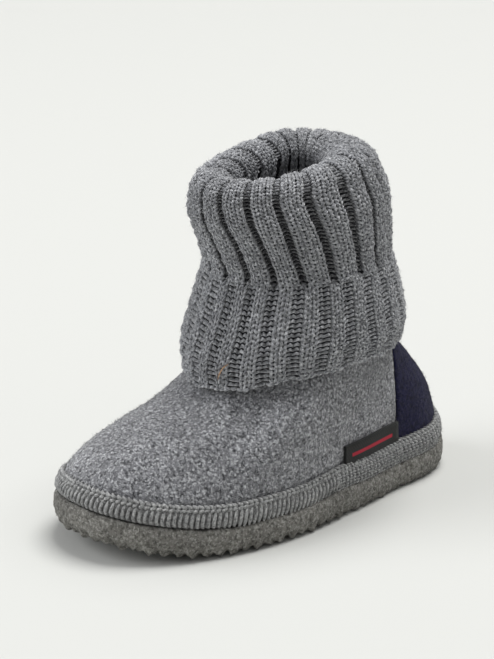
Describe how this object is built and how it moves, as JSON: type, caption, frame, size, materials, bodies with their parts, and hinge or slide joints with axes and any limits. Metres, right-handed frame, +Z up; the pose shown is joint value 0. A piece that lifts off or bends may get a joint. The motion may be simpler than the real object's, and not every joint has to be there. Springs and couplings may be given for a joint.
{
  "type": "felt hut slipper with knitted cuff",
  "caption": "Ankle-high felt hut slipper for a small left foot, with a folded ribbed knit cuff, a heel panel, a stitched rand and a soft ribbed sole.",
  "frame": {"origin": "middle of the box that holds the slipper, on the floor", "axes": "+Y along the foot towards the heel, so the toe points to -Y; +X to the outer side of this left slipper; +Z up"},
  "size_m": [0.0684, 0.15, 0.12],
  "materials": {
    "sole_latex": "rough, matt, speckled with pale grains",
    "footbed_felt": "matt pressed felt",
    "grey_felt": "matt boiled wool, flecked light and dark",
    "navy_felt": "matt felt",
    "rand_knit": "matt, whip-stitched",
    "woven_tape": "flat woven tape, slight sheen",
    "grey_knit": "ribbed wool knit, matt"
  },
  "bodies": {
    "root": {"outsole": "sole_latex", "insole": "footbed_felt", "upper": "grey_felt", "heel_panel": "navy_felt", "rand": "rand_knit", "side_label": "woven_tape", "knit_cuff": "grey_knit"}
  },
  "joints": []
}
